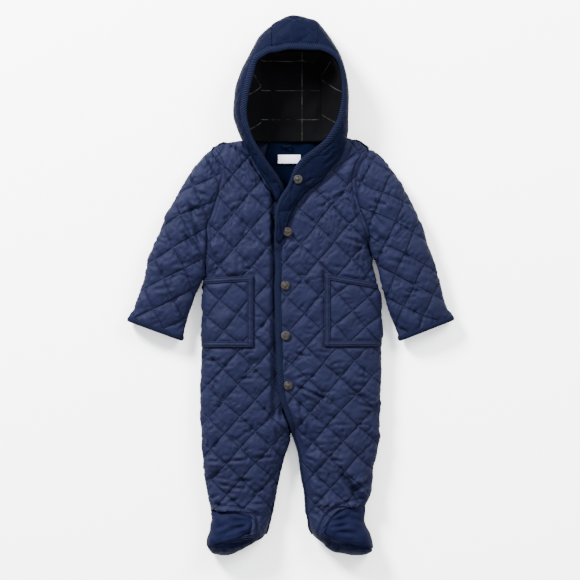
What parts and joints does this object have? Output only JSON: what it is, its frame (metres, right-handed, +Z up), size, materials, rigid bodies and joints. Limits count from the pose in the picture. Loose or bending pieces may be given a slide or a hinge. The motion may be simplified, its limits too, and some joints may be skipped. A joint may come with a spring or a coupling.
{
  "type": "baby snowsuit",
  "caption": "Baby's hooded and footed snowsuit of diamond-quilted cloth, laid flat on its back, with bound edges, patch pockets and snaps down the lapped front.",
  "frame": {"origin": "middle of the garment's box, on the surface that it lies on", "axes": "+Y from the feet to the hood, +X towards the wearer's left sleeve, +Z up, out of the front"},
  "size_m": [0.4936, 0.8092, 0.0665],
  "materials": {
    "quilted_cloth": "satin",
    "binding": "matte",
    "lining": "matte",
    "snap_metal": "satin",
    "label": "matte"
  },
  "bodies": {
    "root": {"front_right": "quilted_cloth", "foot_right": "quilted_cloth", "front_left": "quilted_cloth", "foot_left": "quilted_cloth", "sole_right": "quilted_cloth", "sole_left": "quilted_cloth", "back": "quilted_cloth", "sleeve_right": "quilted_cloth", "sleeve_left": "quilted_cloth", "hood_side_right": "quilted_cloth", "hood_centre": "quilted_cloth", "hood_side_left": "quilted_cloth", "pocket_right": "quilted_cloth", "pocket_left": "quilted_cloth", "cuff_right": "binding", "cuff_left": "binding", "hood_binding_side_right": "binding", "hood_binding_centre": "binding", "hood_binding_side_left": "binding", "hanging_loop": "binding", "binding_front": "binding", "binding_inseam": "binding", "pocket_binding_right": "binding", "pocket_binding_left": "binding", "hood_lining": "lining", "neck_facing": "lining", "snap_1": "snap_metal", "snap_2": "snap_metal", "snap_3": "snap_metal", "snap_4": "snap_metal", "snap_5": "snap_metal", "label": "label"}
  },
  "joints": []
}
